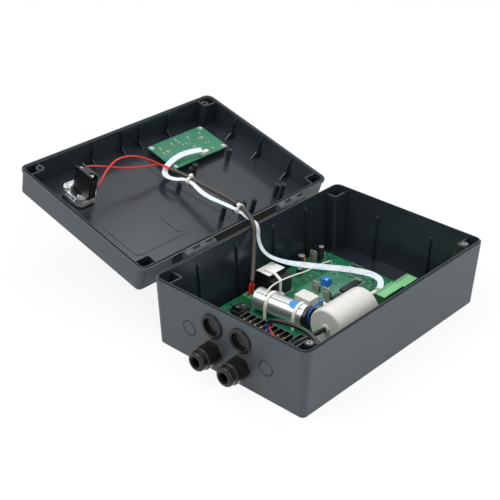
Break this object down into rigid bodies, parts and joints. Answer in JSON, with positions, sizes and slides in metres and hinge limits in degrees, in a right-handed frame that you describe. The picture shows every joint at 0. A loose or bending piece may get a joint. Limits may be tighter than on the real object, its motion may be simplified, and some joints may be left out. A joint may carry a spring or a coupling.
{
  "type": "wall-mounted gate opener control box",
  "caption": "Hinged dark plastic wall box with a door-opener control board, cable glands, lid buttons and an emergency stop",
  "frame": {"origin": "the middle of the flat back of the base, which goes on the wall", "axes": "+Z points out of the wall, -Y is the wall with the cable glands, -X is the hinge side and +X the side of the lid screws; the lid is stored open at 164.6 degrees, on its stop"},
  "size_m": [0.4526, 0.3488, 0.145],
  "materials": {
    "enclosure": "semi-gloss moulded ABS",
    "gland_plastic": "satin nylon",
    "rubber": "matt",
    "steel": "zinc-plated",
    "brass": "bright",
    "board": "satin solder mask",
    "lid_board": "satin solder mask",
    "black_plastic": "satin",
    "white_plastic": "satin",
    "green_plastic": "satin",
    "red_plastic": "gloss",
    "blue_plastic": "gloss",
    "aluminium": "drawn",
    "zinc": "cast",
    "button_green": "gloss",
    "button_grey": "gloss",
    "lamp": "clear",
    "cable_black": "matt",
    "wire_red": "satin",
    "wire_blue": "satin",
    "wire_white": "satin"
  },
  "bodies": {
    "base": {"base_shell": "enclosure", "base_pockets": "enclosure", "board_posts": "enclosure", "lid_screw_inserts": "brass", "hinge_pins": "steel", "cable_grommets": "rubber", "gland_seals": "rubber", "gland_locknuts": "gland_plastic", "gland_bodies": "gland_plastic", "main_board": "board", "board_screws": "steel", "barrier_strip": "black_plastic", "barrier_screws": "steel", "end_terminal": "black_plastic", "power_switch_body": "black_plastic", "stop_terminal": "green_plastic", "wire_ferrules": "red_plastic", "transformer": "white_plastic", "relay": "white_plastic", "can_capacitor": "aluminium", "can_end_cap": "black_plastic", "board_ties": "white_plastic", "motor_capacitor": "white_plastic", "accessory_headers": "green_plastic", "accessory_plugs": "green_plastic", "power_transistors": "black_plastic", "filter_capacitors": "black_plastic", "level_trimmer": "blue_plastic", "chips": "black_plastic", "crystal": "steel", "ribbon_socket": "white_plastic", "stop_cable": "cable_black", "ribbon_cable": "wire_white", "antenna_wire": "wire_white", "capacitor_cable": "cable_black", "mains_leads": "wire_blue", "link_wire": "wire_blue"},
    "lid": {"lid_shell": "enclosure", "lid_pockets": "enclosure", "lid_posts": "enclosure", "lid_gasket": "rubber", "lid_board": "lid_board", "lid_board_screws": "steel", "tact_switches": "black_plastic", "indicator_leds": "lamp", "lid_ribbon_plug": "white_plastic", "operator_body": "black_plastic", "operator_collar": "zinc", "contact_block": "black_plastic", "contact_screws": "steel", "contact_wires": "wire_red", "cable_ties": "white_plastic"},
    "left_gland_nut": {"left_gland_nut": "gland_plastic"},
    "right_gland_nut": {"right_gland_nut": "gland_plastic"},
    "switch_rocker": {"power_switch_rocker": "black_plastic"},
    "open_button": {"open_button": "button_green"},
    "halt_button": {"halt_button": "red_plastic"},
    "close_button": {"close_button": "button_grey"},
    "stop_stem": {"stop_stem": "black_plastic"},
    "stop_head": {"stop_head": "red_plastic"}
  },
  "joints": [
    {"name": "lid_hinge", "type": "hinge", "parent": "base", "child": "lid", "pos_m": [-0.11746, 0, 0.08325], "axis": [0, 1, 0], "range_deg": [0, 164.6], "deforming": ["stop_cable", "ribbon_cable"]},
    {"name": "left_gland_turn", "type": "hinge", "parent": "base", "child": "left_gland_nut", "pos_m": [-0.0205, -0.17, 0.0255], "axis": [0, -1, 0], "continuous": true},
    {"name": "right_gland_turn", "type": "hinge", "parent": "base", "child": "right_gland_nut", "pos_m": [0.0205, -0.17, 0.0255], "axis": [0, -1, 0], "continuous": true},
    {"name": "switch_rock", "type": "hinge", "parent": "base", "child": "switch_rocker", "pos_m": [-0.0555, -0.0785, 0.0294], "axis": [1, 0, 0], "range_deg": [0, 24]},
    {"name": "open_press", "type": "slide", "parent": "lid", "child": "open_button", "axis": [0.2656, 0, 0.9641], "range_m": [0, 0.0008], "stiffness_N_per_m": 500, "springref_m": -0.001},
    {"name": "halt_press", "type": "slide", "parent": "lid", "child": "halt_button", "axis": [0.2656, 0, 0.9641], "range_m": [0, 0.0008], "stiffness_N_per_m": 500, "springref_m": -0.001},
    {"name": "close_press", "type": "slide", "parent": "lid", "child": "close_button", "axis": [0.2656, 0, 0.9641], "range_m": [0, 0.0008], "stiffness_N_per_m": 500, "springref_m": -0.001},
    {"name": "stop_press", "type": "slide", "parent": "lid", "child": "stop_stem", "axis": [0.2656, 0, 0.9641], "range_m": [0, 0.004], "stiffness_N_per_m": 800, "springref_m": -0.002},
    {"name": "stop_release", "type": "hinge", "parent": "stop_stem", "child": "stop_head", "pos_m": [-0.29807, -0.109, 0.08451], "axis": [-0.2656, 0, -0.9641], "range_deg": [0, 30], "stiffness_Nm_per_rad": 0.05, "springref_deg": -11.46}
  ]
}
